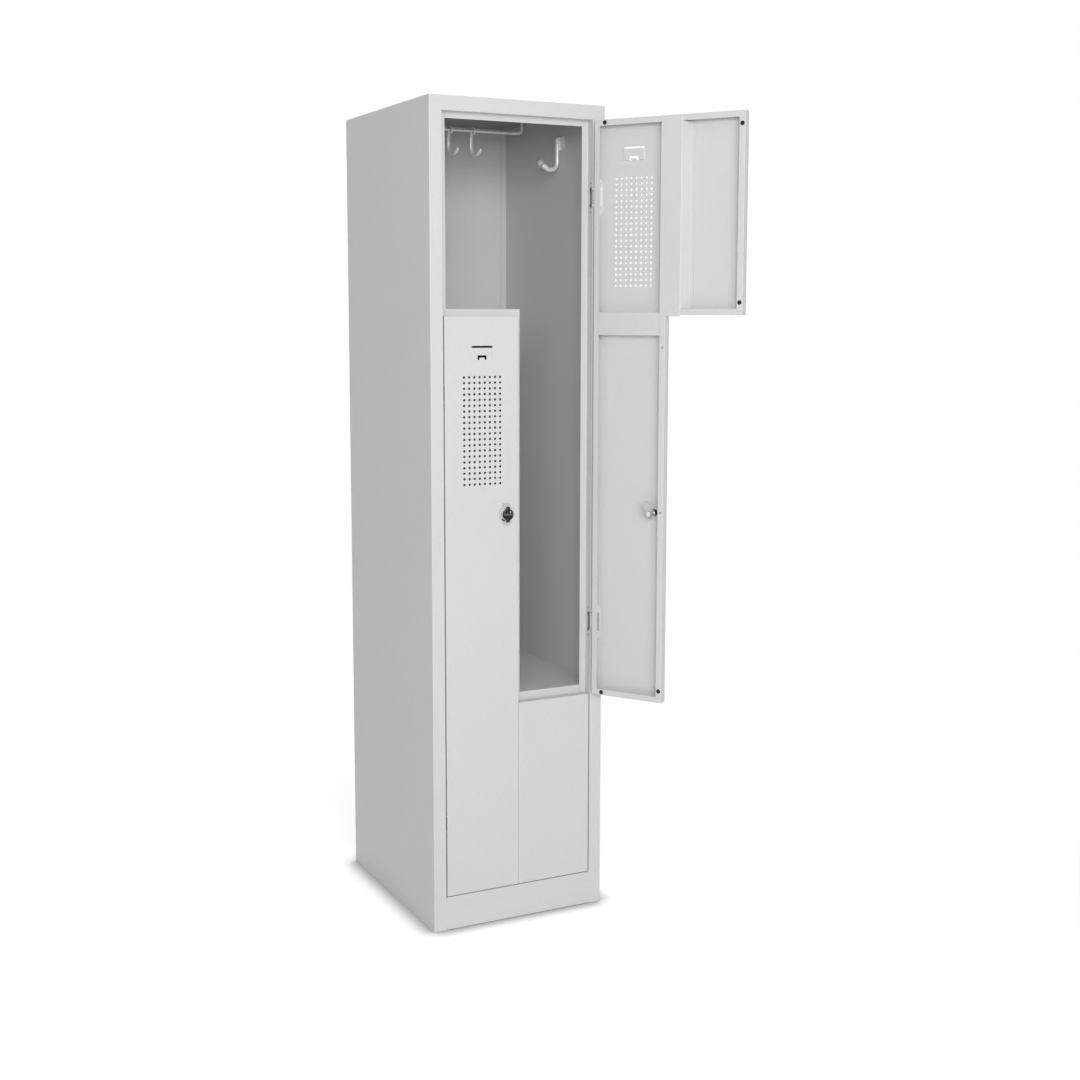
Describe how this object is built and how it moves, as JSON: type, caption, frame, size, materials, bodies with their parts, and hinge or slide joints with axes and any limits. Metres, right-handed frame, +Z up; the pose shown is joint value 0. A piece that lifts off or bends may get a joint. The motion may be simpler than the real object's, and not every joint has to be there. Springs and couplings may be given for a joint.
{
  "type": "z locker",
  "caption": "Tall steel locker for two people: two interlocking L-shaped doors with vent holes, card slots and turn locks, garment rails, sliding hooks and wall hooks inside.",
  "frame": {"origin": "on the floor, in the middle of the foot flange under the front plinth", "axes": "+X to the locker's right as seen from the front, +Y from the front to the back, +Z up"},
  "size_m": [0.5904, 0.806, 1.8],
  "materials": {
    "grey_coat": "light grey powder coat, satin, fine orange peel",
    "rose_coat": "pale grey moulding, satin",
    "black_moulding": "black moulding, satin",
    "lock_chrome": "bright plated",
    "zinc_steel": "zinc plated, satin",
    "black_rubber": "soft black rubber"
  },
  "bodies": {
    "carcass": {"side_panel_left": "grey_coat", "side_panel_right": "grey_coat", "back_panel": "grey_coat", "roof_panel": "grey_coat", "floor_panel": "grey_coat", "top_rail": "grey_coat", "plinth": "grey_coat", "partition_wall": "grey_coat", "partition_stop": "grey_coat", "upper_shelf": "grey_coat", "lower_shelf": "grey_coat", "hinge_bracket_left_lower": "zinc_steel", "hinge_bracket_left_upper": "zinc_steel", "hinge_bracket_right_lower": "zinc_steel", "hinge_bracket_right_upper": "zinc_steel", "hinge_pin_left_lower": "zinc_steel", "hinge_pin_left_upper": "zinc_steel", "hinge_pin_right_lower": "zinc_steel", "hinge_pin_right_upper": "zinc_steel", "garment_rail_upper": "zinc_steel", "garment_rail_lower": "zinc_steel", "wall_hook_upper": "zinc_steel", "wall_hook_lower": "zinc_steel"},
    "door_left": {"door_left_leaf": "grey_coat", "door_left_wing": "grey_coat", "door_left_joint_plate": "grey_coat", "door_left_cross_bar": "grey_coat", "hinge_strap_left_lower": "zinc_steel", "hinge_strap_left_upper": "zinc_steel", "bumper_left_1": "black_rubber", "bumper_left_2": "black_rubber", "bumper_left_3": "black_rubber", "bumper_left_4": "black_rubber", "bumper_left_5": "black_rubber", "lock_rose_left": "rose_coat", "lock_barrel_left": "lock_chrome"},
    "door_right": {"door_right_leaf": "grey_coat", "door_right_wing": "grey_coat", "door_right_joint_plate": "grey_coat", "door_right_cross_bar": "grey_coat", "hinge_strap_right_lower": "zinc_steel", "hinge_strap_right_upper": "zinc_steel", "bumper_right_1": "black_rubber", "bumper_right_2": "black_rubber", "bumper_right_3": "black_rubber", "bumper_right_4": "black_rubber", "bumper_right_5": "black_rubber", "lock_rose_right": "rose_coat", "lock_barrel_right": "lock_chrome"},
    "lock_left": {"lock_knob_left": "black_moulding", "lock_tongue_left": "zinc_steel", "lock_nut_left": "lock_chrome"},
    "lock_right": {"lock_knob_right": "black_moulding", "lock_tongue_right": "zinc_steel", "lock_nut_right": "lock_chrome"},
    "hook_upper_1": {"rail_hook_upper_1": "zinc_steel"},
    "hook_upper_2": {"rail_hook_upper_2": "zinc_steel"},
    "hook_lower_1": {"rail_hook_lower_1": "zinc_steel"},
    "hook_lower_2": {"rail_hook_lower_2": "zinc_steel"}
  },
  "joints": [
    {"name": "door_left_hinge", "type": "hinge", "parent": "carcass", "child": "door_left", "pos_m": [-0.1841, -0.0088, 0.7], "axis": [0, 0, -1], "range_deg": [0, 125]},
    {"name": "door_right_hinge", "type": "hinge", "parent": "carcass", "child": "door_right", "pos_m": [0.1841, -0.0088, 1.15], "axis": [0, 0, 1], "range_deg": [-123, 2]},
    {"name": "lock_left_turn", "type": "hinge", "parent": "door_left", "child": "lock_left", "pos_m": [-0.0315, -0.013, 0.918], "axis": [0, 1, 0], "range_deg": [-22, 90]},
    {"name": "lock_right_turn", "type": "hinge", "parent": "door_right", "child": "lock_right", "pos_m": [0.27073, -0.13449, 0.918], "axis": [-0.8387, -0.5446, 0], "range_deg": [-112, 0]},
    {"name": "hook_upper_1_slide", "type": "slide", "parent": "carcass", "child": "hook_upper_1", "axis": [1, 0, 0], "range_m": [-0.064, 0.023]},
    {"name": "hook_upper_2_slide", "type": "slide", "parent": "carcass", "child": "hook_upper_2", "axis": [1, 0, 0], "range_m": [-0.021, 0.107]},
    {"name": "hook_lower_1_slide", "type": "slide", "parent": "carcass", "child": "hook_lower_1", "axis": [1, 0, 0], "range_m": [-0.032, 0.023]},
    {"name": "hook_lower_2_slide", "type": "slide", "parent": "carcass", "child": "hook_lower_2", "axis": [1, 0, 0], "range_m": [-0.023, 0.032]}
  ]
}
